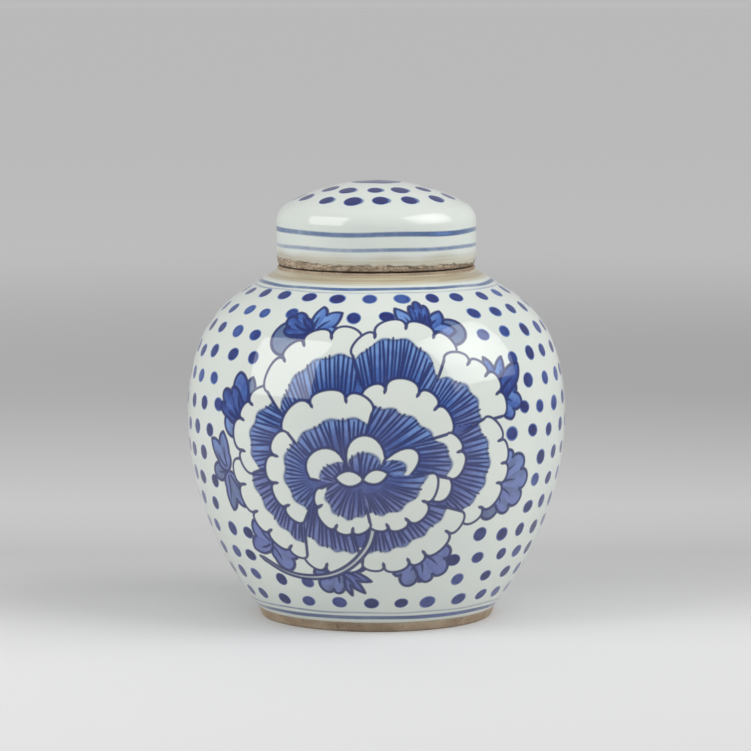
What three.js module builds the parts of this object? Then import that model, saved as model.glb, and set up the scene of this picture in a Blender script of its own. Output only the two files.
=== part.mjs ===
// Ginger jar: a round-bellied porcelain jar on a turned foot ring, with a deep domed lid
// that drops over the jar's short neck and rests on a ledge round it.
// Millimetres, +Z up. The origin is the middle of the foot ring, on the surface it stands on.
import * as THREE from "three";

const DEG = Math.PI / 180;

// Jar, outside: a belly of three circles that meet without a corner, then a conical shoulder
const bellyRadius = 89.4;
const bellyHeight = 97;
const lowerBellyRound = 145.5;
const upperBellyRound = 97;
const upperBellySweep = 17.4 * DEG;
const shoulderRound = 50.4;
const shoulderSlope = 32.6 * DEG;

// Foot ring, and the base recessed inside it
const footHeight = 4.6;
const footOuterRadius = 54.6;
const footInnerRadius = 48.6;
const footBevel = 0.7;
const baseRecess = 5;
const baseRound = 3;

// Ledge, neck and wall
const ledgeRadius = 46.6;
const ledgeHeight = 165.9;
const ledgeBevel = 0.6;
const neckOuterRadius = 40.4;
const neckInnerRadius = 36.2;
const neckTop = 184;
const wall = 4.4;
const floorHeight = 11;
const floorRound = 14;

// Lid: an upright side, a round corner and a shallow dome, hollow underneath
const lidGap = 0.3;
const lidRadius = 47.2;
const lidInnerRadius = 42.4;
const lidTop = 206;
const lidWall = lidRadius - lidInnerRadius;
const lidDomeRound = 88.6;
const lidCornerRound = 9.5;
const lidInnerCornerRound = lidCornerRound - lidWall;
const lidRimRound = 16;
const lidRimHeight = 6.8;
const rimBevel = 0.6;

// Sides of each turned solid
const turnSteps = 48;

// A point on a circle of the section (radius, height); the angle is measured from the radial way.
function onCircle(centre, radius, angle) {
  return new THREE.Vector2(
    centre.x + radius * Math.cos(angle),
    centre.y + radius * Math.sin(angle),
  );
}

// The points of a round stretch of a section, from one angle to another.
function arc(centre, radius, from, to, steps) {
  const points = [];
  for (let i = 0; i <= steps; i += 1) {
    points.push(onCircle(centre, radius, from + ((to - from) * i) / steps));
  }
  return points;
}

// Turns a section that starts and ends on the axis into a solid.
function turned(section) {
  const geometry = new THREE.LatheGeometry(section, turnSteps);
  geometry.rotateX(Math.PI / 2);
  return geometry;
}

const lowerCentre = new THREE.Vector2(bellyRadius - lowerBellyRound, bellyHeight);
const upperCentre = new THREE.Vector2(bellyRadius - upperBellyRound, bellyHeight);
const shoulderCentre = onCircle(upperCentre, upperBellyRound - shoulderRound, upperBellySweep);
const shoulderSweepEnd = Math.PI / 2 - shoulderSlope;

// The angle at which the lower belly, or a line inside it, reaches a height.
function lowerBellyAngle(height, radius) {
  return Math.asin((height - bellyHeight) / radius);
}

// The height of the conical shoulder at a radius, at a depth under the outer skin.
function shoulderHeight(radius, depth) {
  const start = onCircle(shoulderCentre, shoulderRound - depth, shoulderSweepEnd);
  return start.y + (start.x - radius) * Math.tan(shoulderSlope);
}

// The underside: the recessed base, the foot ring's inner side and the flat it stands on.
function footPoints() {
  const recessCentre = new THREE.Vector2(footInnerRadius - baseRound, baseRecess - baseRound);
  return [
    new THREE.Vector2(0, baseRecess),
    ...arc(recessCentre, baseRound, Math.PI / 2, 0, 3),
    new THREE.Vector2(footInnerRadius, footBevel),
    new THREE.Vector2(footInnerRadius + footBevel, 0),
    new THREE.Vector2(footOuterRadius - footBevel, 0),
    new THREE.Vector2(footOuterRadius, footBevel),
  ];
}

// The outside from the top of the foot ring to the edge of the ledge.
function bellyPoints() {
  const lowerStart = lowerBellyAngle(footHeight, lowerBellyRound);
  return [
    ...arc(lowerCentre, lowerBellyRound, lowerStart, 0, 12),
    ...arc(upperCentre, upperBellyRound, 0, upperBellySweep, 4).slice(1),
    ...arc(shoulderCentre, shoulderRound, upperBellySweep, shoulderSweepEnd, 7).slice(1),
    new THREE.Vector2(ledgeRadius, shoulderHeight(ledgeRadius, 0)),
  ];
}

// The flat ledge that the lid rests on, and the neck with its rounded lip.
function neckPoints() {
  const neckRound = (neckOuterRadius - neckInnerRadius) / 2;
  const lipCentre = new THREE.Vector2(neckInnerRadius + neckRound, neckTop - neckRound);
  return [
    new THREE.Vector2(ledgeRadius, ledgeHeight - ledgeBevel),
    new THREE.Vector2(ledgeRadius - ledgeBevel, ledgeHeight),
    new THREE.Vector2(neckOuterRadius, ledgeHeight),
    ...arc(lipCentre, neckRound, 0, Math.PI, 6),
  ];
}

// The inside, from the foot of the neck down to the middle of the floor.
function hollowPoints() {
  const lowerInside = lowerBellyRound - wall;
  const floorReach = lowerInside - floorRound;
  const lowerEnd = lowerBellyAngle(floorHeight + floorRound, floorReach);
  const floorCentre = onCircle(lowerCentre, floorReach, lowerEnd);
  return [
    new THREE.Vector2(neckInnerRadius, shoulderHeight(neckInnerRadius, wall)),
    ...arc(shoulderCentre, shoulderRound - wall, shoulderSweepEnd, upperBellySweep, 6),
    ...arc(upperCentre, upperBellyRound - wall, upperBellySweep, 0, 3).slice(1),
    ...arc(lowerCentre, lowerInside, 0, lowerEnd, 7).slice(1),
    ...arc(floorCentre, floorRound, lowerEnd, -Math.PI / 2, 4).slice(1),
    new THREE.Vector2(0, floorHeight),
  ];
}

// One skin of the lid: the corner circle, tangent to the side, and the dome circle above it.
function lidSkin(side, top, domeRound, cornerRound) {
  const domeCentre = new THREE.Vector2(0, top - domeRound);
  const reach = domeRound - cornerRound;
  const cornerX = side - cornerRound;
  const cornerRise = Math.sqrt(reach * reach - cornerX * cornerX);
  const cornerCentre = new THREE.Vector2(cornerX, domeCentre.y + cornerRise);
  const meet = Math.atan2(cornerRise, cornerX);
  return [
    ...arc(cornerCentre, cornerRound, 0, meet, 6),
    ...arc(domeCentre, domeRound, meet, Math.PI / 2, 6).slice(1),
  ];
}

function lidSection() {
  const bottom = ledgeHeight + lidGap;
  const rimCentre = new THREE.Vector2(lidRadius - lidRimRound, bottom + lidRimHeight);
  const rimStart = -Math.asin((lidRimHeight - rimBevel) / lidRimRound);
  const rimEdge = onCircle(rimCentre, lidRimRound, rimStart);
  const underside = lidSkin(
    lidInnerRadius,
    lidTop - lidWall,
    lidDomeRound - lidWall,
    lidInnerCornerRound,
  );
  return [
    ...underside.reverse(),
    new THREE.Vector2(lidInnerRadius, bottom + rimBevel),
    new THREE.Vector2(lidInnerRadius + rimBevel, bottom),
    new THREE.Vector2(rimEdge.x - rimBevel, bottom),
    ...arc(rimCentre, lidRimRound, rimStart, 0, 4),
    ...lidSkin(lidRadius, lidTop, lidDomeRound, lidCornerRound),
  ];
}

function jar() {
  const section = [...footPoints(), ...bellyPoints(), ...neckPoints(), ...hollowPoints()];
  const porcelain = new THREE.MeshStandardMaterial({
    color: 0xd6dfdf,
    roughness: 0.15,
    metalness: 0,
  });
  const mesh = new THREE.Mesh(turned(section), porcelain);
  mesh.name = "jar";
  return mesh;
}

function lid() {
  const porcelain = new THREE.MeshStandardMaterial({
    color: 0xdbe3e1,
    roughness: 0.15,
    metalness: 0,
  });
  const mesh = new THREE.Mesh(turned(lidSection()), porcelain);
  mesh.name = "lid";
  return mesh;
}

const gingerJar = new THREE.Group();
gingerJar.add(jar(), lid());

export default gingerJar;
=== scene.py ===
"""A blue-and-white ginger jar: a painted porcelain jar and the deep lid that lifts off its neck.

Sections are in millimetres, as (radius, height), and become metres when a mesh is made. The painting is
laid out on the unrolled jar: across is the arc at the belly from the front, up is the length along the
outline from the widest level.
"""
import math

import bpy
import numpy as np
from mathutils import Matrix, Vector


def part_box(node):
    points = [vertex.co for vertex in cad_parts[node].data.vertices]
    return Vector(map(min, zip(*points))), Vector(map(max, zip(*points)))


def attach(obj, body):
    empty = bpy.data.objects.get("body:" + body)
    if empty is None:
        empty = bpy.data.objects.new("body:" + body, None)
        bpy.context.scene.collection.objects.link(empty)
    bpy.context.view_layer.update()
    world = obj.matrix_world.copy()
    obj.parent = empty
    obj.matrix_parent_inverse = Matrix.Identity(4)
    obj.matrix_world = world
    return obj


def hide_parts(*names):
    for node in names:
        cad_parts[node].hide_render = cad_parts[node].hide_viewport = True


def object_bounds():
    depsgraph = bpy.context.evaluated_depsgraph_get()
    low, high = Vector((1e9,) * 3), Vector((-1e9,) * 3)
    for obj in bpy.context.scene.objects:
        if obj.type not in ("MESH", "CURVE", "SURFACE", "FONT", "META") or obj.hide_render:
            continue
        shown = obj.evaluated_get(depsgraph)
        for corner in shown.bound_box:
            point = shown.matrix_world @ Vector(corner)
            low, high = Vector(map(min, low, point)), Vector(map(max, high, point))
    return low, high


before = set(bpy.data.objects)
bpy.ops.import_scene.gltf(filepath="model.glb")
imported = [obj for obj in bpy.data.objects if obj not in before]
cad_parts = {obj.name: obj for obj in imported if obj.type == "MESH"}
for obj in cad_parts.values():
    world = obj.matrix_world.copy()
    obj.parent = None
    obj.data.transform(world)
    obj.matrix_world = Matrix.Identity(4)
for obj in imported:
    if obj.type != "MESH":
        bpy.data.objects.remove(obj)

cad_low, cad_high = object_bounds()
MM = 0.001

# overall sizes, from the frame
jar_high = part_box("jar")[1]
lid_low, lid_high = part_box("lid")
BELLY_RADIUS = jar_high[0] / MM
NECK_TOP = jar_high[2] / MM
LID_RADIUS = lid_high[0] / MM
LID_BOTTOM = lid_low[2] / MM
LID_TOP = lid_high[2] / MM

# the jar's outline, as in the CAD part
BELLY_HEIGHT = 97
LOWER_BELLY_ROUND = 145.5
UPPER_BELLY_ROUND = 97
UPPER_BELLY_SWEEP = math.radians(17.4)
SHOULDER_ROUND = 50.4
SHOULDER_SLOPE = math.radians(32.6)
SHOULDER_END = math.pi / 2 - SHOULDER_SLOPE
FOOT_HEIGHT = 4.6
FOOT_OUTER, FOOT_INNER = 54.6, 48.6
FOOT_BEVEL = 0.7
BASE_RECESS, BASE_ROUND = 5, 3
LEDGE_RADIUS, LEDGE_HEIGHT, LEDGE_BEVEL = 46.6, 165.9, 0.6
NECK_OUTER, NECK_INNER = 40.4, 36.2
WALL = 4.4
FLOOR_HEIGHT, FLOOR_ROUND = 11, 14

# the lid's outline, as in the CAD part
LID_INNER = 42.4
LID_WALL = LID_RADIUS - LID_INNER
LID_DOME_ROUND = 88.6
LID_CORNER_ROUND = 9.5
LID_RIM_ROUND = 16
LID_RIM_HEIGHT = 6.8
RIM_BEVEL = 0.6

# the glaze: how thick it is, how deep it is set into the clay, and where it stops
COAT = 0.3
COAT_ROOT = 0.45
GLAZE_FOOT = 4.1
GLAZE_LEDGE = 164.9
GLAZE_LID = 169.0
INNER_GLAZE_TOP = NECK_TOP - 5
BASE_GLAZE_END = math.pi / 5          # how far round the corner of the recess


# ---- outlines

def on_circle(centre, radius, angle):
    return np.array([centre[0] + radius * math.cos(angle), centre[1] + radius * math.sin(angle)])


def arc(centre, radius, start, end, steps):
    return [on_circle(centre, radius, a) for a in np.linspace(start, end, steps + 1)]


def smooth(low, high, value):
    """A soft step from 0 at low to 1 at high."""
    share = np.clip((value - low) / (high - low), 0, 1)
    return share * share * (3 - 2 * share)


def run_along(points):
    return np.append(0, np.cumsum(np.hypot(*np.diff(points, axis=0).T)))


def evenly(points, step):
    """The same line with its points a step apart."""
    points = np.array(points)
    run = run_along(points)
    at = np.linspace(0, run[-1], max(2, round(run[-1] / step) + 1))
    return np.stack([np.interp(at, run, points[:, 0]), np.interp(at, run, points[:, 1])], -1)


def left_of(way):
    return np.stack([-way[..., 1], way[..., 0]], -1)


def between(points, low, high):
    """The stretch of a rising line between two heights."""
    points = np.array(points)
    ends = [(np.interp(z, points[:, 1], points[:, 0]), z) for z in (low, high)]
    kept = points[(points[:, 1] > low) & (points[:, 1] < high)]
    return np.vstack([ends[:1], kept, ends[1:]])


def sunk(points, depth):
    """A rising line moved inwards, square to itself."""
    way = np.gradient(points, axis=0)
    way /= np.hypot(*way.T)[:, None]
    return points + left_of(way) * np.reshape(depth, (-1, 1))


LOWER_CENTRE = (BELLY_RADIUS - LOWER_BELLY_ROUND, BELLY_HEIGHT)
UPPER_CENTRE = (BELLY_RADIUS - UPPER_BELLY_ROUND, BELLY_HEIGHT)
SHOULDER_CENTRE = on_circle(UPPER_CENTRE, UPPER_BELLY_ROUND - SHOULDER_ROUND, UPPER_BELLY_SWEEP)
RECESS_CENTRE = (FOOT_INNER - BASE_ROUND, BASE_RECESS - BASE_ROUND)


def shoulder_height(radius, depth):
    """The shoulder's height at a radius, at a depth under its skin."""
    start = on_circle(SHOULDER_CENTRE, SHOULDER_ROUND - depth, SHOULDER_END)
    return start[1] + (start[0] - radius) * math.tan(SHOULDER_SLOPE)


def jar_outside():
    """The foot ring's side, the belly and the cone of the shoulder, from the bottom to the ledge."""
    start = math.asin((FOOT_HEIGHT - BELLY_HEIGHT) / LOWER_BELLY_ROUND)
    return np.array([
        (FOOT_OUTER, FOOT_BEVEL),
        *arc(LOWER_CENTRE, LOWER_BELLY_ROUND, start, 0, 200),
        *arc(UPPER_CENTRE, UPPER_BELLY_ROUND, 0, UPPER_BELLY_SWEEP, 60)[1:],
        *arc(SHOULDER_CENTRE, SHOULDER_ROUND, UPPER_BELLY_SWEEP, SHOULDER_END, 100)[1:],
        (LEDGE_RADIUS, shoulder_height(LEDGE_RADIUS, 0)),
    ])


def jar_inside(depth=0.0):
    """The hollow, from the foot of the neck down to the middle of the floor."""
    wall = WALL + depth
    lower = LOWER_BELLY_ROUND - wall
    floor_round = FLOOR_ROUND - depth
    reach = lower - floor_round
    floor = FLOOR_HEIGHT - depth
    end = math.asin((floor + floor_round - BELLY_HEIGHT) / reach)
    centre = on_circle(LOWER_CENTRE, reach, end)
    radius = NECK_INNER + depth
    return np.array([
        (radius, shoulder_height(radius, wall)),
        *arc(SHOULDER_CENTRE, SHOULDER_ROUND - wall, SHOULDER_END, UPPER_BELLY_SWEEP, 24),
        *arc(UPPER_CENTRE, UPPER_BELLY_ROUND - wall, UPPER_BELLY_SWEEP, 0, 12)[1:],
        *arc(LOWER_CENTRE, lower, 0, end, 30)[1:],
        *arc(centre, floor_round, end, -math.pi / 2, 12)[1:],
        (0, floor),
    ])


def lid_skin(side, top, dome_round, corner_round, steps=40):
    """One side of the lid's wall: its round corner and its dome."""
    dome = (0, top - dome_round)
    reach = dome_round - corner_round
    across = side - corner_round
    rise = math.sqrt(reach**2 - across**2)
    meet = math.atan2(rise, across)
    return [*arc((across, dome[1] + rise), corner_round, 0, meet, steps),
            *arc(dome, dome_round, meet, math.pi / 2, steps * 3)[1:]]


def lid_outside():
    """The lid from the outer edge of its rim to the middle of its top."""
    centre = (LID_RADIUS - LID_RIM_ROUND, LID_BOTTOM + LID_RIM_HEIGHT)
    start = -math.asin((LID_RIM_HEIGHT - RIM_BEVEL) / LID_RIM_ROUND)
    return np.array([*arc(centre, LID_RIM_ROUND, start, 0, 16),
                     *lid_skin(LID_RADIUS, LID_TOP, LID_DOME_ROUND, LID_CORNER_ROUND)])


def lid_inside(depth=0.0):
    """The lid's hollow, from its mouth to the middle of its ceiling."""
    corner = LID_CORNER_ROUND - LID_WALL + depth
    return np.array([(LID_INNER + depth, LID_BOTTOM + 2 * RIM_BEVEL),
                     *lid_skin(LID_INNER + depth, LID_TOP - LID_WALL + depth,
                               LID_DOME_ROUND - LID_WALL + depth, corner, 10)])


# ---- meshes

def around(count):
    return np.arange(count) / count * 2 * math.pi


def ripples(rng, angle, height, waves, lift, count=14):
    """Slow unevenness round a turned piece; waves is the range of waves in one turn."""
    total = 0
    for _ in range(count):
        turn = rng.integers(*waves)
        total = total + np.sin(turn * angle + rng.normal(0, lift) * height + rng.uniform(0, 6.3))
    return total / math.sqrt(count / 2)


def grit(rng, shape, soften=1):
    """Grains: noise that is even all over, about 1 high."""
    field = rng.normal(size=shape)
    for _ in range(soften):
        for axis in (0, 1):
            field = (field + 0.7 * np.roll(field, 1, axis) + 0.7 * np.roll(field, -1, axis)) / 2.4
    return field / field.std()


def in_space(radius, height, angles):
    return np.stack([radius * np.sin(angles), -radius * np.cos(angles), height + 0 * radius * angles], -1)


def added(name, data):
    thing = bpy.data.objects.new(name, data)
    bpy.context.scene.collection.objects.link(thing)
    return thing


def turned(name, section, angles, shift=None, paint=None, drop=None):
    """A closed turned mesh. Its section closes on itself, or starts and ends on the axis.

    shift and drop hold outward and downward moves in millimetres, and paint holds named values, for every
    ring and column."""
    section = np.asarray(section, float)
    rings, columns = len(section), len(angles)
    radius, height = section[:, :1], section[:, 1:]
    way = np.roll(section, -1, 0) - np.roll(section, 1, 0)
    on_axis = section[0, 0] < 1e-6
    if on_axis:
        way[0], way[-1] = (1, 0), (-1, 0)
    way /= np.maximum(np.hypot(*way.T)[:, None], 1e-9)
    out = np.zeros((rings, columns)) if shift is None else shift
    r = radius + way[:, 1:] * out
    z = height - way[:, :1] * out - (0 if drop is None else drop)
    points = in_space(r, z, angles).reshape(-1, 3) * MM

    last = rings - 1 if on_axis else rings
    i, j = np.meshgrid(np.arange(last), np.arange(columns), indexing="ij")
    up, on = (i + 1) % rings, (j + 1) % columns
    quads = np.stack([i * columns + j, i * columns + on, up * columns + on, up * columns + j], -1)
    kept = slice(None)
    if on_axis:
        # the first and last ring are one point each
        spare = columns - 1
        kept = slice(spare, last * columns + 1)
        quads = np.clip(quads - spare, 0, last * columns - spare)
    # a quad on the axis has one point twice, and becomes a triangle
    faces = [tuple(dict.fromkeys(face)) for face in quads.reshape(-1, 4).tolist()]
    mesh = bpy.data.meshes.new(name)
    mesh.from_pydata(points[kept], [], faces)
    mesh.polygons.foreach_set("use_smooth", np.ones(len(mesh.polygons), bool))
    for key, values in (paint or {}).items():
        layer = mesh.attributes.new(key, "FLOAT", "POINT")
        layer.data.foreach_set("value", values.ravel()[kept].astype(np.float32))
    return added(name, mesh)


def placed(piece, body, finish):
    piece.data.materials.append(finish)
    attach(piece, body)
    return piece


# ---- the painting

# in millimetres on the unrolled jar, round the heart of the flower; directions in degrees
OUTLINE_WIDTH = 1.55
HATCH_WIDTH = 1.45
HATCH_PITCH = 2.4
HATCH_START, HATCH_BEND = 0.4, 0.7    # shares of the way from root to wash edge
VEIN_WIDTH = 1.0
LOBE_BULGE = 0.37  # a lobe's height as a share of its width
HOOK = 2.2         # how far the outline runs in between two lobes
SIDE_LINE = 0.3    # how much of a petal's two sides is drawn
BRUSH_EDGE = 1.2   # the width over which a brush line fades
SWELL, LIFT = 0.9, 0.35  # shares of a line over which it widens, and then narrows

# strength of the thin paint: on a petal, more towards its root, between petals and on the stem
PETAL_WASH, PETAL_DEEPER = 0.42, 0.27
GROUND_WASH = 0.66
STEM_WASH = 0.12

# first and last direction; reach at the first, middle and last direction; reach of the wash there;
# lobes along the edge; the place (across, up) that the hatching runs to
OUTER_PETALS = (
    ((-142, -90), (45, 49, 42), (41, 39, 36), 4, (-16, 18)),
    ((174, 232), (64, 59, 49), (58, 51, 44), 5, (-26, 5)),
    ((138, 179), (58, 66, 54), (53, 59, 50), 4, (-11, 16)),
    ((90, 140), (63, 70, 60), (56, 59, 50), 4, (-8, -6)),
    ((94, 50), (57, 76, 73), (54, 69, 58), 4, (10, 11)),
    ((53, 21), (68, 79, 75), (58, 67, 61), 4, (25, 21)),
    ((24, -22), (65, 72, 55), (61, 63, 50), 5, (20, 9)),
    ((-90, -18), (42, 49, 53), (36, 40, 46), 5, (5, -3)),
)
MIDDLE_PETALS = (
    ((88, 26), (37, 48, 46), (34, 37, 40), 4, (-8, 2)),
    ((80, 151), (31, 41, 40), (27, 31, 35), 3, (-5, -9)),
    ((3, -17), (38, 44, 37), (34, 36, 33), 1, (18, 2)),
    ((27, 0), (45, 49, 42), (40, 44, 41), 2, (-2, 10)),
    ((149, 216), (40, 43, 35), (36, 37, 29), 4, (-17, 1)),
)
INNER_PETALS = (
    ((180, 130), (24, 26, 11), (19, 17, 10), 1, (-6, -3)),
    ((132, 38), (9, 21, 15), (8, 14, 12), 1, (0, -9)),
    ((40, -2), (15, 30, 20), (14, 22, 17), 1, (8, 3)),
)
FRONT_PETALS = (
    ((5, -80), (34, 31, 21), (32, 24, 16), 4, (0, 1)),
    ((-167, -78), (19, 27, 21), (17, 21, 16), 4, (-1, 4)),
)

# each spray: direction and reach of its foot, then its leaves from back to front, each with its heading,
# fan, length, number of lobes, how pointed they are (0 round, 1 sharp) and how dark the leaf is
SPRAYS = (
    ((112, 73), ((192, 84, 23, 1, 0, 0.3), (40, 130, 19, 3, 0.75, 0.56), (158, 70, 19, 3, 0, 0.76))),
    ((64, 75), ((3, 60, 24, 1, 0, 0.34), (153, 84, 23, 2, 1, 0.5), (24, 84, 20, 2, 0.8, 0.64),
                (90, 58, 20, 3, 0, 0.8))),
    ((158, 64), ((80, 44, 21, 1, 0.7, 0.34), (103, 48, 23, 1, 0.3, 0.66), (188, 120, 13, 1, 0, 0.46),
                 (138, 72, 20, 3, 0, 0.8))),
    ((28, 77), ((88, 70, 21, 2, 1, 0.62), (-14, 120, 16, 3, 0.3, 0.64), (40, 52, 22, 1, 0.8, 0.82))),
    ((180, 72), ((188, 80, 12, 1, 0.2, 0.38), (113, 72, 20, 2, 0.7, 0.42), (284, 72, 21, 2, 0.7, 0.4))),
    ((-4, 68), ((-98, 76, 17, 1, 0, 0.36), (4, 160, 22, 5, 0, 0.44))),
    ((-146, 61), ((-34, 120, 17, 2, 0.2, 0.48), (162, 130, 16, 2, 0.7, 0.54))),
    ((-108, 48), ((-30, 90, 21, 4, 1, 0.6), (232, 130, 16, 3, 0, 0.44))),
    ((-51, 47), ((255, 120, 19, 3, 0, 0.44), (-32, 110, 21, 3, 0.1, 0.5))),
)
# each seed: its middle, half its length, half its height and its tilt
SEEDS = (((-5, 0.5), 6.8, 3.8, -3), ((7, 1.5), 6.2, 3.5, 15))
STEM = ((5, -12), (6, -22), (3, -33), (-6, -43), (-18, -49), (-33, -51), (-47, -49), (-60, -43))
STEM_WIDTH = 3.4


def polar(direction, reach):
    angle = np.radians(direction)
    return np.stack([reach * np.cos(angle), reach * np.sin(angle)], -1)


def three_way(values, share):
    """A curve through three values, at its start, middle and end."""
    first, middle, last = values
    return (first * (1 - share) * (1 - 2 * share) + 4 * middle * share * (1 - share)
            + last * share * (2 * share - 1))


def bowed(start, end, bulge, steps=8, full=False):
    """A round line from start to end that rises to the left by bulge times their distance.

    A full one leaves its ends steeply, as half an oval does."""
    share = np.arange(steps)[:, None] / steps
    way = end - start
    lift = np.sin(np.pi * share) ** 0.75
    along = (1 - np.cos(np.pi * share)) / 2 if full else share
    return start + way * along + left_of(way) * bulge * lift


def through(points, steps=6):
    """A smooth line through the points."""
    p = np.array(points, float)
    p = np.vstack([2 * p[0] - p[1], p, 2 * p[-1] - p[-2]])
    line = []
    for a, b, c, d in zip(p, p[1:], p[2:], p[3:]):
        for t in np.arange(steps) / steps:
            line.append(b + 0.5 * t * (c - a + t * (2 * a - 5 * b + 4 * c - d + t * (3 * (b - c) + d - a))))
    return np.array(line + [p[-2]])


class Canvas:
    """Cobalt on a grid: ink is how far a brush line covers a point, and wash how strong the thin paint is.

    taken is where a flower lies, and stretch the jar's radius at each level as a share of the belly's."""

    def __init__(self, across, up, stretch):
        self.across, self.up, self.stretch = across, up, stretch
        self.ink = np.zeros((len(up), len(across)))
        self.wash = np.zeros((len(up), len(across)))
        self.taken = np.zeros((len(up), len(across)), bool)

    def window(self, points, margin):
        low, high = np.min(points, 0) - margin, np.max(points, 0) + margin
        rows = slice(*np.searchsorted(self.up, (low[1], high[1])))
        tight = self.stretch[rows].min() if rows.stop > rows.start else 1
        columns = slice(*np.searchsorted(self.across, (low[0] - margin / tight, high[0] + margin / tight)))
        return rows, columns

    def places(self, window):
        rows, columns = window
        return self.across[columns][None, :], self.up[rows][:, None], self.stretch[rows][:, None]

    def inside(self, outline, window):
        x, y, _ = self.places(window)
        odd = np.zeros((y.shape[0], x.shape[1]), bool)
        for (x0, y0), (x1, y1) in zip(outline, np.roll(outline, -1, 0)):
            if y0 != y1:
                odd ^= ((y0 > y) != (y1 > y)) & (x < (x1 - x0) * (y - y0) / (y1 - y0) + x0)
        return odd

    def distance(self, line, window):
        """Distance to a line, and how far along it the nearest point is, from 0 to 1."""
        x, y, k = self.places(window)
        lengths = np.hypot(*np.diff(line, axis=0).T)
        reached = np.append(0, np.cumsum(lengths)) / lengths.sum()
        best = np.full((y.shape[0], x.shape[1]), 1e3)
        along = np.zeros_like(best)
        for i, ((x0, y0), (x1, y1)) in enumerate(zip(line, line[1:])):
            ax, ay = (x - x0) * k, y - y0
            bx, by = (x1 - x0) * k, y1 - y0
            t = np.clip((ax * bx + ay * by) / (bx * bx + by * by + 1e-9), 0, 1)
            d = np.hypot(ax - t * bx, ay - t * by)
            along = np.where(d < best, reached[i] + t * (reached[i + 1] - reached[i]), along)
            best = np.minimum(d, best)
        return best, along

    def cut_out(self, outline):
        """Wipes the inside of an outline; returns its window, its mask there and its mask on the grid."""
        window = self.window(outline, 0.5)
        mask = self.inside(outline, window)
        self.ink[window][mask] = 0
        self.wash[window][mask] = 0
        self.taken[window] |= mask
        whole = np.zeros(self.ink.shape, bool)
        whole[window] = mask
        return window, mask, whole

    def stroke(self, line, width, first=1.0, last=1.0, within=None):
        """A brush line; first and last are its width at its ends, as shares of its full width."""
        line = np.asarray(line, float)
        window = self.window(line, width + BRUSH_EDGE)
        if 0 in self.ink[window].shape:
            return
        d, t = self.distance(line, window)
        share = np.minimum(first + (1 - first) * t / SWELL, last + (1 - last) * (1 - t) / LIFT)
        cover = np.clip(0.5 + (width * np.minimum(share, 1) / 2 - d) / BRUSH_EDGE, 0, 1)
        if within is not None:
            cover *= within[window]
        self.ink[window] = np.maximum(self.ink[window], cover)

    def tint(self, window, amount):
        self.wash[window] = np.maximum(self.wash[window], amount)


def moved(points, place):
    return np.asarray(points, float) + place


def petal_outline(directions, reaches, lobes, rng):
    """A petal's edge, and the corners between its lobes."""
    shares = np.linspace(0, 1, lobes + 1)
    shares[1:-1] += rng.uniform(-0.2, 0.2, lobes - 1) / lobes
    turn = directions[1] - directions[0]
    corners = polar(directions[0] + turn * shares, three_way(reaches, shares))
    bulges = LOBE_BULGE * rng.uniform(0.75, 1.15, lobes)
    if lobes == 1:
        top = polar(directions[0] + turn / 2, reaches[1])
        bulges = [np.hypot(*(top - corners.mean(0))) / np.hypot(*(corners[1] - corners[0]))]
    side = -np.sign(turn)
    bows = [bowed(a, b, side * bulge, 12, True) for a, b, bulge in zip(corners, corners[1:], bulges)]
    return np.vstack(bows + [corners[-1:]]), corners


def petal(canvas, place, directions, reaches, washes, lobes, root, rng):
    """A petal: its wash, the strokes that fan out over it, and its outline."""
    edge, corners = petal_outline(directions, reaches, lobes, rng)
    root = np.array(root, float)
    window, mask, inside = canvas.cut_out(moved(np.vstack([edge, root]), place))
    x, y, _ = canvas.places(window)
    x, y = x - place[0], y - place[1]
    turn = directions[1] - directions[0]
    here = np.degrees(np.arctan2(y, x)) - directions[0]
    middle = turn / 2
    here = middle + (here - middle + 180) % 360 - 180
    share = np.clip(here / turn, 0, 1)
    waves = 0.7 * np.sin(share * 2 * np.pi * lobes + rng.uniform(0, 6))
    depth = three_way(washes, share) + waves - np.hypot(x, y)
    deep = smooth(1, 8 + 0.22 * max(washes), depth)
    strength = (PETAL_WASH + PETAL_DEEPER * deep) * smooth(-1.0, 2.2, depth)
    canvas.tint(window, strength * mask)

    shares = np.linspace(0, 1, 40)
    rim = polar(directions[0] + turn * shares, three_way(washes, shares))
    count = max(2, int(run_along(rim)[-1] / HATCH_PITCH))
    for i in range(-2, count + 2):
        at = (i + 0.5 + rng.uniform(-0.22, 0.22)) / count
        way = polar(directions[0] + turn * at, three_way(washes, at)) - root
        size = np.hypot(*way)
        tip = root + way * (1 - rng.uniform(0.1, 1.9) / size)
        bend = left_of(way) / size * rng.uniform(-0.7, 0.7)
        line = through([root + way * HATCH_START, root + way * HATCH_BEND + bend, tip], 3)
        canvas.stroke(moved(line, place), HATCH_WIDTH * rng.uniform(0.85, 1.15), 0.25, 0.65, inside)

    for corner in corners[1:-1]:
        inward = corner * (1 - HOOK / np.hypot(*corner))
        canvas.stroke(moved([corner, inward], place), OUTLINE_WIDTH * 1.1, 1, 0.5)
    canvas.stroke(moved(edge, place), OUTLINE_WIDTH, 0.8, 0.8)
    for corner in (corners[0], corners[-1]):
        canvas.stroke(moved([corner, corner + (root - corner) * SIDE_LINE], place), OUTLINE_WIDTH, 1, 0.4)


def ground(canvas, place):
    """The deep wash under the petals, seen in the gaps between them."""
    rim = [polar(a + (b - a) * share, three_way(washes, share) * 0.93)
           for (a, b), _, washes, _, _ in OUTER_PETALS for share in (0.03, 0.35, 0.65, 0.97)]
    rim.sort(key=lambda p: np.arctan2(p[1], p[0]))
    window, mask, _ = canvas.cut_out(moved(rim, place))
    canvas.tint(window, GROUND_WASH * mask)


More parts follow.
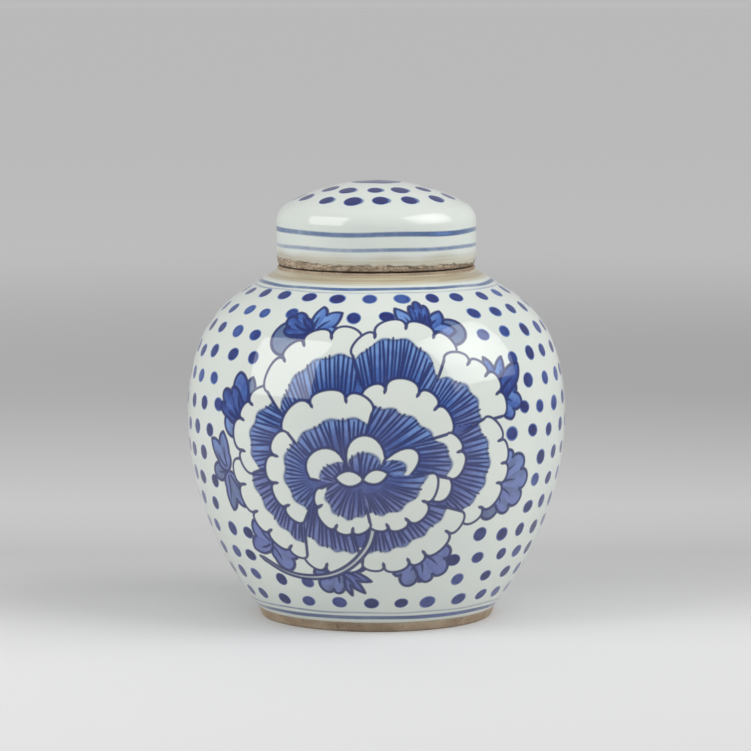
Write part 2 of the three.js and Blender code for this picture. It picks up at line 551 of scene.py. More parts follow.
def leaf(canvas, place, heading, fan, length, lobes, point, tone, rng):
    """A leaf whose lobes fan out from its foot, darker along one side of each lobe, with a vein up each."""
    share = np.linspace(0, 1, 24 * lobes + 1)
    lobe = share * lobes % 1
    swell = (1 - point) * np.sqrt(np.sin(np.pi * lobe)) + point * (1 - abs(2 * lobe - 1))
    notch = 0.8 - 0.2 * point
    reach = length * (1 - 0.35 * (2 * share - 1) ** 2) * (notch + (1 - notch) * swell)
    edge = polar(heading + fan * (share - 0.5), reach)
    outline = moved(np.vstack([bowed(np.zeros(2), edge[0], -0.2), edge,
                               bowed(edge[-1], np.zeros(2), -0.2)]), place)
    window, mask, inside = canvas.cut_out(outline)
    x, y, _ = canvas.places(window)
    turned_by = np.degrees(np.arctan2(y - place[1], x - place[0])) - heading
    here = np.clip(((turned_by + 180) % 360 - 180) / fan + 0.5, 0, 1) * lobes % 1
    canvas.tint(window, tone * (1.05 - 0.3 * here) * mask)
    for i in range(lobes):
        way = heading + fan * ((i + 0.5) / lobes - 0.5) + rng.uniform(-4, 4)
        tip = length * rng.uniform(0.5, 0.72)
        vein = [polar(way, length * 0.12), polar(way + 5, tip * 0.6), polar(way, tip)]
        canvas.stroke(moved(through(vein, 3), place), VEIN_WIDTH * (0.4 + 1.6 * tone), 1, 0.3, inside)
    canvas.stroke(outline, OUTLINE_WIDTH)


def leaves(canvas, place, rng):
    for foot, spray in SPRAYS:
        for facts in spray:
            leaf(canvas, moved(polar(*foot), place), *facts, rng)


def seed(canvas, place, middle, half_long, half_high, tilt):
    """One of the two white lens shapes at the heart."""
    tips = polar(tilt, np.array([-half_long, half_long]))
    bulge = half_high / half_long / 2
    lens = np.vstack([bowed(tips[0], tips[1], bulge), bowed(tips[1], tips[0], bulge), tips[:1]])
    outline = moved(moved(lens, middle), place)
    canvas.cut_out(outline)
    canvas.stroke(outline, OUTLINE_WIDTH * 0.9)


def stem(canvas, place):
    line = through(moved(STEM, place))
    way = np.gradient(line, axis=0)
    side = left_of(way) / np.hypot(*way.T)[:, None]
    taper = np.linspace(1, 0.5, len(line))[:, None] * STEM_WIDTH / 2
    upper, lower = line + side * taper, line - side * taper
    window, mask, _ = canvas.cut_out(np.vstack([upper, lower[::-1]]))
    canvas.tint(window, STEM_WASH * mask)
    tip = 2.2 * line[-1] - 1.2 * line[-2]
    canvas.stroke(np.vstack([upper, [tip], lower[::-1]]), OUTLINE_WIDTH)


def peony(canvas, place, rng):
    """The whole flower with its leaves, painted from back to front."""
    leaves(canvas, place, rng)
    ground(canvas, place)
    for facts in OUTER_PETALS:
        petal(canvas, place, *facts, rng)
    stem(canvas, place)
    for facts in MIDDLE_PETALS + INNER_PETALS + FRONT_PETALS:
        petal(canvas, place, *facts, rng)
    for facts in SEEDS:
        seed(canvas, place, *facts)


# dots: rows from the shoulder to the foot, with heights measured from the widest level
DOT_TOP, DOT_BOTTOM = 68.0, -87.0
DOT_ROWS = 14
DOT_PITCH = 14.6
DOT_HALF_WIDE, DOT_HALF_HIGH = 3.3, 3.0
DOT_TONES = (0.82, 0.9, 0.98, 1.06)
DOT_HIDDEN = 0.08         # a dot that would lose more of itself than this to a flower is left out


def dots(canvas, rng):
    """Rows of dots over all that the flowers leave free."""
    start = canvas.across[0]
    length = canvas.across[-1] - start
    for row, height in enumerate(np.linspace(DOT_TOP, DOT_BOTTOM, DOT_ROWS)):
        k = np.interp(height, canvas.up, canvas.stretch)
        count = round(length * k / DOT_PITCH)
        for i in range(count):
            steps = i + 0.25 + 0.5 * (row % 2) + rng.uniform(-0.12, 0.12)
            dot(canvas, (start + steps / count * length, height + rng.uniform(-0.9, 0.9)), rng)


def dot(canvas, middle, rng):
    """An oval dab, a little paler in its middle, unless a flower hides too much of it."""
    window = canvas.window([middle, middle], 4)
    x, y, k = canvas.places(window)
    tilt = rng.uniform(-0.5, 0.5)
    ax, ay = (x - middle[0]) * k, y - middle[1]
    px, py = ax * np.cos(tilt) + ay * np.sin(tilt), ay * np.cos(tilt) - ax * np.sin(tilt)
    wide, high = np.array([DOT_HALF_WIDE, DOT_HALF_HIGH]) * rng.uniform(0.88, 1.12, 2)
    inwards = (1 - np.hypot(px / wide, py / high)) * min(wide, high)
    tone = rng.choice(DOT_TONES) - 0.1 * smooth(0.2, 1.4, inwards)
    blur = rng.uniform(0.4, 0.75)
    taken = canvas.taken[window]
    if np.mean(taken[inwards > 0]) < DOT_HIDDEN:
        canvas.tint(window, tone * smooth(-blur, blur, inwards) * ~taken)


# ---- the painted coats

RANDOM_SEED = 11
SEAM = -90                # direction of the canvas's seam, out of the way of both flowers
FLOWER_AT = (-7.5, -21.5)
FRONT_SPAN = (-94, 82)    # where the front flower lies
BACK_SPAN = (-88, 92)     # where the back flower lies, from its own heart
FINE, MEDIUM, COARSE = 0.4, 0.5, 0.8
ROW = 0.45
# the rings round the jar: height above the widest level, width and strength
JAR_LINES = ((75.6, 2.0, 0.28), (72.7, 1.0, 0.15), (-93.3, 1.1, 0.18), (-96.7, 2.3, 0.3))
JAR_CREAM = (77.5, 80.5)  # where the glaze thins out towards the ledge


def draws(number):
    return np.random.default_rng(RANDOM_SEED + number)


def canvas_columns():
    """Places across the unrolled jar, close together at the two flowers."""
    turn = 2 * math.pi * BELLY_RADIUS
    start = turn * SEAM / 360
    back = turn / 2 + FLOWER_AT[0]
    front_from, front_to = FRONT_SPAN
    back_from, back_to = np.add(back, BACK_SPAN)
    stretches = ((start, front_from, COARSE), (front_from, front_to, FINE), (front_to, back_from, COARSE),
                 (back_from, back_to, MEDIUM), (back_to, start + turn, COARSE))
    return np.concatenate([np.linspace(a, b, round((b - a) / step), endpoint=False)
                           for a, b, step in stretches])


def band(canvas, height, width, strength, rng):
    """A brushed ring; its strength drifts round the jar as the brush empties."""
    angle = canvas.across[None, :] / BELLY_RADIUS
    drift = 1 + 0.14 * ripples(rng, angle, 0, (1, 9), 0)
    waver = 0.16 * ripples(rng, angle, 0, (2, 14), 0)
    off = np.abs(canvas.up[:, None] - height - waver)
    canvas.tint(..., strength * drift * smooth(width / 2 + 0.45, width / 2 - 0.35, off))


def on_rows(section, angles, rows, values):
    """Values on some rows of a section, with 0 on the rest."""
    grid = np.zeros((len(section), len(angles)))
    grid[rows] = values
    return grid


def jar_glaze_coat(finish):
    """The glazed and painted skin, from the foot ring to the ledge, with rolled edges."""
    rng = draws(0)
    skin = evenly(between(jar_outside(), GLAZE_FOOT, GLAZE_LEDGE), ROW)
    run = run_along(skin)
    up = run - np.interp(BELLY_HEIGHT, skin[:, 1], run)
    across = canvas_columns()
    angles = across / BELLY_RADIUS
    canvas = Canvas(across, up, skin[:, 0] / BELLY_RADIUS)
    for height, width, strength in JAR_LINES:
        band(canvas, height, width, strength, rng)
    peony(canvas, FLOWER_AT, rng)
    peony(canvas, (FLOWER_AT[0] + math.pi * BELLY_RADIUS, FLOWER_AT[1]), rng)
    dots(canvas, rng)

    cream = smooth(*JAR_CREAM, up)[:, None] + 0.8 * smooth(up[0] + 1.6, up[0], up)[:, None]
    root = sunk(evenly(skin, 6), COAT_ROOT)[::-1]
    section = np.vstack([skin, root])
    outer = slice(len(skin))
    burnt = 0.35 * smooth(0.8, 0, run)[:, None]
    values = {"ink": canvas.ink, "wash": canvas.wash, "cream": cream, "burnt": burnt}
    paint = {key: on_rows(section, angles, outer, value) for key, value in values.items()}
    rings = 0.012 * np.sin(up * 0.9)[:, None] + 0.05 * ripples(rng, angles, up[:, None] / 40, (2, 7), 1)
    edge = np.minimum(run, run[-1] - run)[:, None]
    shift = on_rows(section, angles, outer, rings * smooth(0, 6, edge) - 0.2 * smooth(0.9, 0, edge))
    return placed(turned("jar_glaze_coat", section, angles, shift, paint), "jar", finish)


# the lid's rings of dots have radius, count and first direction; its lines have height, width and strength
LID_DOT_RINGS = ((35.3, 15, 5), (24.0, 11, -3))
LID_DOT_RADIUS, LID_DOT_TONE = (3.4, 4.2), (0.96, 1.15)
LID_TOP_DISC = 11.5
LID_LINES = ((183.7, 2.3, 0.27), (176.6, 1.9, 0.18))
LID_CREAM = (175.6, 170.6)
LID_COLUMNS = 620


def lid_spot(points, middle, size, tone, tail):
    """A dab on the lid, with the thinner trail that the brush leaves to one side."""
    off = np.linalg.norm(points - middle, axis=-1)
    whole = tone * smooth(size + 0.45, size - 0.45, off)
    trailed = np.linalg.norm(points - (middle + tail), axis=-1)
    return np.maximum(whole, 0.3 * smooth(size * 0.8 + 0.8, size * 0.8 - 0.8, trailed))


def lid_glaze_coat(finish):
    """The lid's glazed and painted skin; its lower edge wanders and is thin."""
    rng = draws(1)
    skin = evenly(between(lid_outside(), GLAZE_LID, LID_TOP - 1e-4), ROW)
    skin[-1] = (0, LID_TOP)
    angles = around(LID_COLUMNS)
    run = run_along(skin)[:, None]
    points = in_space(skin[:, :1], skin[:, 1:], angles)
    height = skin[:, 1:]
    wash = np.zeros((len(skin), len(angles)))
    for line, width, strength in LID_LINES:
        waver = 0.12 * ripples(rng, angles, 0, (1, 8), 0)
        drift = 1 + 0.12 * ripples(rng, angles, 0, (1, 7), 0)
        wash = np.maximum(wash, strength * drift * smooth(width / 2 + 0.4, width / 2 - 0.4,
                                                          abs(height - line - waver)))
    dome_centre = np.array([0, 0, LID_TOP - LID_DOME_ROUND])
    for radius, count, first in LID_DOT_RINGS:
        for i in range(count):
            turn = math.radians(first + 360 * (i + rng.uniform(-0.16, 0.16)) / count)
            out = radius + rng.uniform(-0.8, 0.8)
            rise = math.sqrt(LID_DOME_ROUND**2 - out**2)
            middle = dome_centre + (out * math.sin(turn), -out * math.cos(turn), rise)
            tail = np.array([math.cos(turn), math.sin(turn), 0]) * rng.uniform(0.6, 2.2)
            spot = lid_spot(points, middle, rng.uniform(*LID_DOT_RADIUS), rng.uniform(*LID_DOT_TONE), tail)
            wash = np.maximum(wash, spot)
    rim = LID_TOP_DISC + 0.2 * ripples(rng, angles, 0, (2, 9), 0)
    wash = np.maximum(wash, 0.95 * smooth(0.6, -0.6, skin[:, :1] - rim))

    cream = 0.7 * smooth(*LID_CREAM, height + 0.5 * ripples(rng, angles, 0, (2, 16), 0))
    root = sunk(evenly(skin, 4), COAT_ROOT)[::-1]
    root[0] = (0, LID_TOP - COAT_ROOT)
    section = np.vstack([root, skin])
    outer = slice(len(root), None)
    burnt = smooth(0.9, 0.15, run) * np.clip(0.65 + 0.4 * ripples(rng, angles, 0, (6, 60), 0), 0, 1)
    values = {"ink": 0, "wash": wash, "cream": cream, "burnt": burnt}
    paint = {key: on_rows(section, angles, outer, value) for key, value in values.items()}

    wander = 0.4 * ripples(rng, angles, 0, (2, 8), 0) + 0.14 * ripples(rng, angles, 0, (18, 70), 0)
    wander += 0.8 * np.sin(angles)
    rings = 0.04 * ripples(rng, angles, height / 9, (2, 7), 1) * smooth(0, 5, run)
    shift = on_rows(section, angles, outer, rings - 0.22 * smooth(0.9, 0, run))
    drop = on_rows(section, angles, outer, wander * smooth(5, 0, run))
    drop[:len(root)] = wander * smooth(5, 0, root[:, 1:] - GLAZE_LID)
    coat = turned("lid_glaze_coat", section, angles, shift, paint, drop)
    return placed(coat, "lid", finish)


# ---- clay and inner glazes

NECK_FILLET = 0.8
CLAY_COLUMNS = 600
INNER_COLUMNS, LID_INNER_COLUMNS = 240, 200


def jar_clay(finish):
    """The whole jar in bare clay; it shows at the foot ring, the ledge and the neck."""
    rng = draws(2)
    skin = jar_outside()
    foot_top, ledge_bottom = GLAZE_FOOT + 2, GLAZE_LEDGE - 2
    outside = np.vstack([evenly(between(skin, FOOT_BEVEL, foot_top), ROW)[1:],
                         evenly(between(skin, foot_top, ledge_bottom), 4)[1:],
                         evenly(between(skin, ledge_bottom, skin[-1, 1]), ROW)[1:]])
    covered = (smooth(GLAZE_FOOT - 0.2, GLAZE_FOOT + 0.6, outside[:, 1])
               * smooth(GLAZE_LEDGE + 0.3, GLAZE_LEDGE - 0.6, outside[:, 1]))
    fillet = (NECK_OUTER + NECK_FILLET, LEDGE_HEIGHT + NECK_FILLET)
    lip = (NECK_OUTER - NECK_INNER) / 2
    turns = np.linspace(math.pi / 2, 0, 16)
    rounds = BASE_ROUND + COAT * smooth(BASE_GLAZE_END - 0.1, BASE_GLAZE_END + 0.1, turns)
    corner = [on_circle(RECESS_CENTRE, radius, turn) for radius, turn in zip(rounds, turns)]
    section = np.vstack([
        evenly([(0, BASE_RECESS + COAT), (RECESS_CENTRE[0], BASE_RECESS + COAT)], 3),
        corner[1:],
        arc((FOOT_INNER + FOOT_BEVEL, FOOT_BEVEL), FOOT_BEVEL, math.pi, 1.5 * math.pi, 4),
        arc((FOOT_OUTER - FOOT_BEVEL, FOOT_BEVEL), FOOT_BEVEL, -math.pi / 2, 0, 4),
        sunk(outside, COAT * covered),
        arc((LEDGE_RADIUS - LEDGE_BEVEL, LEDGE_HEIGHT - LEDGE_BEVEL), LEDGE_BEVEL, 0, math.pi / 2, 4),
        evenly([(LEDGE_RADIUS - 1, LEDGE_HEIGHT), (fillet[0], LEDGE_HEIGHT)], 0.6),
        arc(fillet, NECK_FILLET, -math.pi / 2, -math.pi, 4)[1:],
        evenly([(NECK_OUTER, LEDGE_HEIGHT + 1.5 * NECK_FILLET), (NECK_OUTER, NECK_TOP - lip)], 0.6),
        arc((NECK_INNER + lip, NECK_TOP - lip), lip, 0, math.pi, 16)[1:],
        [(NECK_INNER, INNER_GLAZE_TOP + 0.3)],
        evenly(np.vstack([[(NECK_INNER + COAT, INNER_GLAZE_TOP - 0.5)], jar_inside(COAT)]), 3),
    ])
    angles = around(CLAY_COLUMNS)
    height = section[:, 1:]
    bare = smooth(7, 4, height) + smooth(160, 163, height)
    shape = (len(section), len(angles))
    grooves = 0.05 * np.sin(height * 2.3) * smooth(LEDGE_HEIGHT, LEDGE_HEIGHT + 2, height)
    sand = 0.05 * grit(rng, shape, 2)
    waves = 0.06 * ripples(rng, angles, height / 3, (2, 9), 1)
    shift = bare * (sand + waves + grooves)
    shift *= smooth(0, 2, section[:, :1])
    resting = height[:, 0] < FOOT_BEVEL
    shift[resting] = -0.3 * abs(shift[resting])
    piece = turned("jar_clay", section, angles, shift)
    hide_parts("jar")
    return placed(piece, "jar", finish)


def plain_coat(name, angles, section, shown, waves):
    """A plain glaze; shown is its rows that face out, which ripple less towards the axis."""
    calm = smooth(0, 12, section[shown, :1])
    return turned(name, section, angles, on_rows(section, angles, shown, waves * calm))


def jar_inner_glaze(finish):
    rng = draws(3)
    top = [(NECK_INNER, INNER_GLAZE_TOP)]
    inner = evenly(np.vstack([top, jar_inside()]), 2.5)
    deep = evenly(np.vstack([np.add(top, (COAT_ROOT, 0)), jar_inside(COAT_ROOT)]), 2.5)
    angles = around(INNER_COLUMNS)
    waves = 0.1 * ripples(rng, angles, inner[:, 1:] / 12, (1, 6), 1)
    section = np.vstack([deep[::-1], inner])
    coat = plain_coat("jar_inner_glaze", angles, section, slice(len(deep), None), waves)
    return placed(coat, "jar", finish)


def jar_base_glaze(finish):
    """The glazed underside, inside the foot ring."""
    def skin(lift):
        flat = evenly([(0, BASE_RECESS + lift), (RECESS_CENTRE[0], BASE_RECESS + lift)], 2.5)
        return np.vstack([flat, arc(RECESS_CENTRE, BASE_ROUND + lift, math.pi / 2, BASE_GLAZE_END, 8)[1:]])

    rng = draws(4)
    under, deep = skin(0), skin(COAT_ROOT + COAT)
    angles = around(INNER_COLUMNS)
    waves = 0.05 * ripples(rng, angles, under[:, :1] / 8, (1, 7), 1)
    section = np.vstack([under, deep[::-1]])
    coat = plain_coat("jar_base_glaze", angles, section, slice(len(under)), waves)
    return placed(coat, "jar", finish)


def lid_clay(finish):
    """The whole lid in bare clay; it shows at the gritty rim, below the wandering edge of the glaze."""
    rng = draws(5)
    skin = lid_outside()
    covered_from = GLAZE_LID + 2
    rim = evenly(between(skin, skin[0, 1], covered_from), 0.3)
    above = evenly(between(skin, covered_from, LID_TOP - 1e-4), 3)[1:]
    above[-1, 0] = 0
    outside = np.vstack([rim, above])
    covered = smooth(GLAZE_LID - 1.4, covered_from, outside[:, 1])
    outside = sunk(outside, (COAT + 0.1) * covered)
    outside[-1] = (0, LID_TOP - COAT)
    section = np.vstack([
        evenly(lid_inside(COAT)[::-1], 2.5),
        arc((LID_INNER + RIM_BEVEL, LID_BOTTOM + RIM_BEVEL), RIM_BEVEL, math.pi, 1.5 * math.pi, 4),
        evenly([(LID_INNER + 2 * RIM_BEVEL, LID_BOTTOM), (outside[0, 0] - RIM_BEVEL, LID_BOTTOM)], 0.6),
        outside,
    ])
    angles = around(LID_COLUMNS)
    height = section[:, 1:]
    shape = (len(section), len(angles))
    outer = np.arange(len(section))[:, None] >= len(section) - len(outside)
    rough = outer * smooth(LID_BOTTOM, LID_BOTTOM + 0.8, height)
    rough = rough * smooth(covered_from + 1, GLAZE_LID, height)
    crumbs = 0.10 * grit(rng, shape, 1) + 0.13 * grit(rng, shape, 4)
    shift = rough * (crumbs - 0.12 + 0.1 * ripples(rng, angles, height / 2, (5, 40), 1))
    piece = turned("lid_clay", section, angles, shift)
    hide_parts("lid")
    return placed(piece, "lid", finish)


def lid_inner_glaze(finish):
    mouth = LID_BOTTOM + 4

    def skin(depth):
        line = evenly(between(lid_inside(depth), mouth, lid_inside(depth)[-1, 1] - 1e-4), 2)
        line[-1, 0] = 0
        return line

    rng = draws(6)
    inner, deep = skin(0)[::-1], skin(COAT_ROOT)
    angles = around(LID_INNER_COLUMNS)
    waves = 0.08 * ripples(rng, angles, inner[:, 1:] / 9, (1, 7), 1)
    coat = plain_coat("lid_inner_glaze", angles, np.vstack([inner, deep]), slice(len(inner)), waves)
    return placed(coat, "lid", finish)


# ---- finishes

def colour(red, green, blue):
    """A colour from its screen values, 0 to 255."""
    share = np.array([red, green, blue]) / 255
    light = np.where(share < 0.04045, share / 12.92, ((share + 0.055) / 1.055) ** 2.4)
    return (*light.tolist(), 1.0)


class Finish:
    """A material and short ways to add its nodes."""

    def __init__(self, name):
        self.material = bpy.data.materials.new(name)
        self.material.use_nodes = True
        self.tree = self.material.node_tree
        self.shader = self.tree.nodes["Principled BSDF"]
        self.place = self.node("ShaderNodeTexCoord").outputs["Object"]

    def axis(self, letter):
        split = self.node("ShaderNodeSeparateXYZ")
        self.link(self.place, split.inputs["Vector"])
        return split.outputs[letter]

    def node(self, kind, **settings):
        made = self.tree.nodes.new(kind)
        for key, value in settings.items():
            setattr(made, key, value)
        return made

    def link(self, source, target):
        self.tree.links.new(source, target)

    def value(self, name):
        return self.node("ShaderNodeAttribute", attribute_name=name).outputs["Fac"]

    def stretched(self, scale):
        mapping = self.node("ShaderNodeMapping")
        mapping.inputs["Scale"].default_value = scale
        self.link(self.place, mapping.inputs["Vector"])
        return mapping.outputs["Vector"]

    def noise(self, scale, detail=3, rough=0.5, along=None):
        made = self.node("ShaderNodeTexNoise")
        made.inputs["Scale"].default_value = scale
        made.inputs["Detail"].default_value = detail
        made.inputs["Roughness"].default_value = rough
        self.link(along or self.place, made.inputs["Vector"])
        return made.outputs["Fac"]

    def to_range(self, source, low, high, out_low=0, out_high=1, kind="SMOOTHSTEP"):
        made = self.node("ShaderNodeMapRange", interpolation_type=kind)
        ends = {"From Min": low, "From Max": high, "To Min": out_low, "To Max": out_high}
        for key, number in ends.items():
            made.inputs[key].default_value = number
        self.link(source, made.inputs["Value"])
        return made.outputs["Result"]

    def math(self, operation, first, second):
        made = self.node("ShaderNodeMath", operation=operation)
        for socket, given in zip(made.inputs, (first, second)):
            if isinstance(given, (int, float)):
                socket.default_value = given
            else:
                self.link(given, socket)
        return made.outputs[0]

    def ramp(self, source, stops):
        """Colours along a value; each stop has its place and its screen colour."""
        made = self.node("ShaderNodeValToRGB")
        elements = made.color_ramp.elements
        while len(elements) < len(stops):
            elements.new(1)
        for element, (at, shade) in zip(elements, stops):
            element.position = at
            element.color = colour(*shade)
        self.link(source, made.inputs["Fac"])
        return made.outputs["Color"]

    def mix(self, factor, first, second):
        made = self.node("ShaderNodeMix", data_type="RGBA")
        self.link(factor, made.inputs["Factor"])
        colours = [s for s in made.inputs if s.type == "RGBA"]
        for socket, given in zip(colours, (first, second)):
            if isinstance(given, tuple):
                socket.default_value = given
            else:
                self.link(given, socket)
        return [s for s in made.outputs if s.type == "RGBA"][0]

    def bump(self, height, strength, distance, under=None):
        made = self.node("ShaderNodeBump")
        made.inputs["Strength"].default_value = strength
        made.inputs["Distance"].default_value = distance * MM
        self.link(height, made.inputs["Height"])
        if under is not None:
            self.link(under, made.inputs["Normal"])
        return made.outputs["Normal"]

    def set(self, numbers):
        for socket, number in numbers.items():
            self.shader.inputs[socket].default_value = number

    def done(self, base, rough, normal):
        self.link(base, self.shader.inputs["Base Color"])
        self.link(rough, self.shader.inputs["Roughness"])
        self.link(normal, self.shader.inputs["Normal"])
        return self.material


GLAZE_LIGHT = colour(220, 224, 217)
GLAZE_DEEP = colour(208, 216, 211)
CREAM = colour(198, 191, 165)
CREAM_DARK = colour(166, 153, 128)
BURNT = colour(92, 66, 48)
SPECK = colour(74, 60, 50)
PINHOLE = colour(150, 138, 120)
# colour of the darkening at the bottom of bare clay; under the lid's rim it is painted shade
SHADE_AND_GRIME = colour(48, 36, 28)

# the wash's colour from weak to strong, as a painted-shade copy low on the jar and a painted-light copy
# high up, then the brush lines' colour there
COBALT_SHADED_LOW = ((0.0, (150, 160, 178)), (0.33, (92, 106, 142)), (0.42, (112, 124, 178)),
              (0.62, (78, 90, 148)), (0.8, (58, 68, 126)), (1.0, (40, 44, 94)))
COBALT_LIT_HIGH = ((0.0, (148, 164, 186)), (0.33, (76, 100, 142)), (0.42, (110, 148, 208)),
               (0.62, (58, 96, 170)), (0.8, (32, 56, 130)), (1.0, (12, 24, 100)))
LINE_SHADED_LOW, LINE_LIT_HIGH = colour(44, 50, 100), colour(10, 32, 98)
# heights in metres between which the painted shade low down turns into the painted light high up
WASH_SHADE_TO_LIGHT, LINES_SHADE_TO_LIGHT = (0.055, 0.135), (0.055, 0.125)


def painted_glaze():
    """Cobalt under a clear, faintly green glaze; creamy and duller where the glaze is thin."""
    f = Finish("painted_glaze")
    body = f.mix(f.noise(28, 2), GLAZE_DEEP, GLAZE_LIGHT)
    streaks = f.noise(1, 4, 0.6, f.stretched((16, 16, 900)))
    thin = f.mix(f.to_range(streaks, 0.35, 0.7), CREAM_DARK, CREAM)
    body = f.mix(f.value("cream"), body, thin)

    body = f.mix(f.value("burnt"), body, BURNT)
    pooled = f.to_range(f.noise(220, 3, 0.6), 0.3, 0.7, 0.92, 1.08)
    wash = f.math("MULTIPLY", f.value("wash"), pooled)
    # painted shade and light: an uneven height at which the shaded cobalt colours low on the jar turn into
    # the lit ones high up
    drift = f.math("ADD", f.axis("Z"), f.to_range(f.noise(35, 2), 0.3, 0.7, -0.02, 0.02))
    low, high = f.ramp(wash, COBALT_SHADED_LOW), f.ramp(wash, COBALT_LIT_HIGH)
    cobalt = f.mix(f.to_range(drift, *WASH_SHADE_TO_LIGHT), low, high)
    body = f.mix(f.to_range(wash, 0.0, 0.26), body, cobalt)

    line = f.to_range(f.value("ink"), 0.25, 0.75, 0, 0.94)
    line_colour = f.mix(f.to_range(drift, *LINES_SHADE_TO_LIGHT), LINE_SHADED_LOW, LINE_LIT_HIGH)
    body = f.mix(line, body, line_colour)

    grains = f.node("ShaderNodeTexVoronoi", feature="F1")
    grains.inputs["Scale"].default_value = 130
    f.link(f.place, grains.inputs["Vector"])
    chosen = f.node("ShaderNodeSeparateColor")
    f.link(grains.outputs["Color"], chosen.inputs["Color"])
    speck = f.math("MULTIPLY", f.to_range(grains.outputs["Distance"], 0.035, 0.06, 1, 0),
                   f.to_range(chosen.outputs["Red"], 0.965, 0.97))
    body = f.mix(f.math("MULTIPLY", speck, 0.75), body, SPECK)

    rough = f.to_range(f.noise(60, 3), 0.3, 0.7, 0.07, 0.12)
    rough = f.math("ADD", rough, f.math("MULTIPLY", f.value("cream"), 0.28))
    wavy = f.bump(f.noise(90, 2), 0.06, 0.25)
    peel = f.bump(f.noise(900, 2), 0.05, 0.04, wavy)
    f.set({"IOR": 1.5, "Specular IOR Level": 0.0, "Coat Weight": 1.0, "Coat Roughness": 0.06,
           "Coat IOR": 1.6})
    return f.done(body, rough, peel)


def plain_glaze():
    """The clear glaze of the inside and the underside, with pinholes and faint drips."""
    f = Finish("plain_glaze")
    drips = f.noise(1, 3, 0.5, f.stretched((70, 70, 14)))
    body = f.mix(drips, colour(206, 214, 208), colour(226, 231, 224))
    holes = f.to_range(f.noise(700, 2), 0.70, 0.74)
    body = f.mix(f.math("MULTIPLY", holes, 0.5), body, PINHOLE)
    rough = f.to_range(f.noise(50, 3), 0.3, 0.7, 0.12, 0.24)
    f.set({"IOR": 1.5})
    return f.done(body, rough, f.bump(f.noise(140, 3), 0.15, 0.3))


def bare_clay(name, dark, light, pit, flash, crumb, shade_and_grime_heights):
    """Unglazed clay: sandy and pitted, with turning lines, cracks that run round it and a warm flash.

    crumb is how strong the cracks are, and the last argument the heights between which a darkening at the
    bottom fades: painted shade in the gap under the lid's rim, and a darker line along the bottom edge of
    the jar's foot."""
    f = Finish(name)
    lines = f.noise(1, 4, 0.6, f.stretched((20, 20, 1500)))
    sand = f.noise(1300, 4, 0.65)
    patches = f.noise(45, 4, 0.6)
    body = f.mix(f.to_range(patches, 0.35, 0.65), dark, light)
    body = f.mix(f.to_range(lines, 0.45, 0.75, 0, 0.5), body, flash)
    body = f.mix(f.to_range(sand, 0.54, 0.66, 0, 0.7), body, light)
    lumps = f.noise(1, 4, 0.7, f.stretched((300, 300, 620)))
    off_middle = f.math("ABSOLUTE", f.math("SUBTRACT", lumps, 0.5), 0)
    cracks = f.to_range(off_middle, 0.005, 0.035, crumb, 0)
    pits = f.math("MAXIMUM", f.to_range(f.noise(700, 3, 0.7), 0.6, 0.68, 0, 0.7), cracks)
    body = f.mix(pits, body, pit)
    # darker towards the bottom: painted shade in the gap under the lid's rim, and a darker line along the
    # foot's bottom edge
    shade_and_grime_mask = f.to_range(f.axis("Z"), shade_and_grime_heights[0] * MM, shade_and_grime_heights[1] * MM, 0.85, 0)
    body = f.mix(shade_and_grime_mask, body, SHADE_AND_GRIME)
    rough = f.to_range(sand, 0.3, 0.7, 0.62, 0.9)
    worn = f.bump(lines, 0.25, 0.15)
    sandy = f.bump(lumps, 0.5, 0.5, f.bump(sand, 0.5, 0.2, worn))
    f.set({"IOR": 1.5, "Specular IOR Level": 0.35})
    return f.done(body, rough, f.bump(pits, 0.5, -0.4, sandy))


# ---- studio

# in metres; the greys are painted light and shade, with a darker band of painted shade behind the jar, and
# lie at shares of the way from near to far; further out it fades to a painted pale light
FLOOR_REACH = 14.0
FLOOR_NEAR, FLOOR_FAR = -0.4, 0.9
FLOOR_SHADE_GREYS = ((0.0, 225), (0.28, 224), (0.45, 196), (0.58, 208), (1.0, 201))
FLOOR_FAR_LIGHT = colour(252, 252, 252)
FLOOR_LIGHT_FADE = (0.8, 2.3)
WORLD_LIGHT = 0.5
CAMERA_AT = (-0.0004, -1.8821, 0.3251)
CAMERA_TILT = math.radians(6.416)
CAMERA_LENS, CAMERA_SENSOR = 191.74, 36


def floor_paper_with_painted_light():
    """Pale paper, with a faint grey band of painted shade behind the jar, and painted palest far away as
    painted light.
    """
    f = Finish("floor_paper_with_painted_light")
    depth = f.to_range(f.axis("Y"), FLOOR_NEAR, FLOOR_FAR, kind="LINEAR")
    # painted light and shade: the greys from near to far, darker in a band behind the jar
    shaded_greys = f.ramp(depth, [(at, (grey, grey, grey)) for at, grey in FLOOR_SHADE_GREYS])
    out = f.node("ShaderNodeVectorMath", operation="LENGTH")
    f.link(f.place, out.inputs[0])
    # painted light: the paper turns palest far away
    far_light_mask = f.to_range(out.outputs["Value"], *FLOOR_LIGHT_FADE)
    f.link(f.mix(far_light_mask, shaded_greys, FLOOR_FAR_LIGHT), f.shader.inputs["Base Color"])
    f.set({"Roughness": 0.9, "Specular IOR Level": 0.1})
    return f.material


def floor():
    mesh = bpy.data.meshes.new("floor")
    rim = [(FLOOR_REACH * math.cos(a), FLOOR_REACH * math.sin(a), 0) for a in around(64)]
    mesh.from_pydata(rim, [], [tuple(range(len(rim)))])
    mesh.materials.append(floor_paper_with_painted_light())
    sheet = added("floor", mesh)


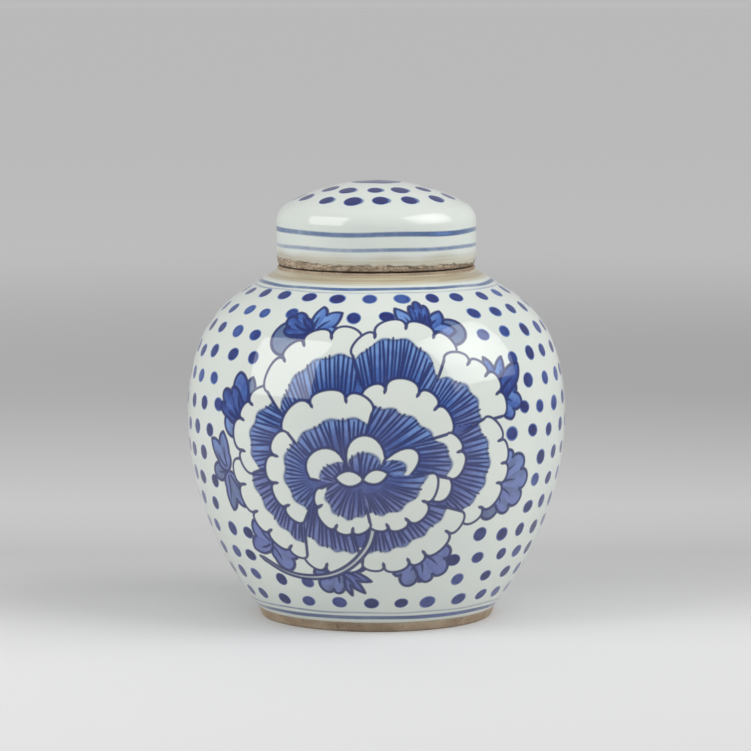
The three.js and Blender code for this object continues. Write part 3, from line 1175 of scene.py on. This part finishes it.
def softbox(name, direction, height, distance, size, radiance, spread=180, aside=0.0):
    """A rectangular light that faces the jar; the smaller its spread, the sooner it fades to the sides.

    direction is measured from the front, to the right, and height above level, both in degrees; aside
    slides the light sideways in its own plane."""
    light = bpy.data.lights.new(name, "AREA")
    light.shape = "RECTANGLE"
    light.size, light.size_y = size
    light.energy = radiance * math.pi * size[0] * size[1]
    light.spread = math.radians(spread)
    lamp = added(name, light)
    a, e = math.radians(direction), math.radians(height)
    middle = np.array([0, 0, (cad_low[2] + cad_high[2]) / 2])
    way = np.array([math.sin(a) * math.cos(e), -math.cos(a) * math.cos(e), math.sin(e)])
    lamp.location = middle + way * distance + np.array([math.cos(a), math.sin(a), 0]) * aside
    lamp.rotation_euler = (math.pi / 2 - e, 0, a)


def studio():
    softbox("left_softbox", direction=-44, height=30, distance=1.25, size=(1.1, 0.95), radiance=1.95,
            spread=150, aside=-0.45)
    softbox("right_softbox", direction=72, height=36, distance=1.25, size=(1.15, 1.0), radiance=0.8,
            spread=80)
    world = bpy.data.worlds.new("studio")
    world.use_nodes = True
    background = world.node_tree.nodes["Background"]
    background.inputs["Color"].default_value = (1, 1, 1, 1)
    background.inputs["Strength"].default_value = WORLD_LIGHT
    bpy.context.scene.world = world
    bpy.context.scene.view_settings.view_transform = "Standard"


def camera():
    data = bpy.data.cameras.new("camera")
    data.sensor_width = CAMERA_SENSOR
    data.lens = CAMERA_LENS
    eye = added("camera", data)
    eye.location = CAMERA_AT
    eye.rotation_euler = (math.pi / 2 - CAMERA_TILT, 0, 0)
    bpy.context.scene.camera = eye


# ---- the whole

camera()
studio()
floor()
glaze = painted_glaze()
inner_glaze = plain_glaze()
# the jar's clay turns darker towards the bottom edge of its foot
body_clay = bare_clay("jar_clay", dark=colour(142, 124, 104), light=colour(178, 162, 140),
                      pit=colour(88, 70, 54), flash=colour(188, 152, 118), crumb=0.15, shade_and_grime_heights=(-0.9, 1.0))
# the rim's clay has painted shade at its bottom edge, where the lid stands over the ledge
rim_clay = bare_clay("rim_clay", dark=colour(146, 127, 107), light=colour(196, 179, 156),
                     pit=colour(86, 66, 50), flash=colour(168, 146, 122), crumb=0.75,
                     shade_and_grime_heights=(LID_BOTTOM + 0.25, LID_BOTTOM + 0.9))
jar_clay(body_clay)
jar_glaze_coat(glaze)
jar_inner_glaze(inner_glaze)
jar_base_glaze(inner_glaze)
lid_clay(rim_clay)
lid_glaze_coat(glaze)
lid_inner_glaze(inner_glaze)
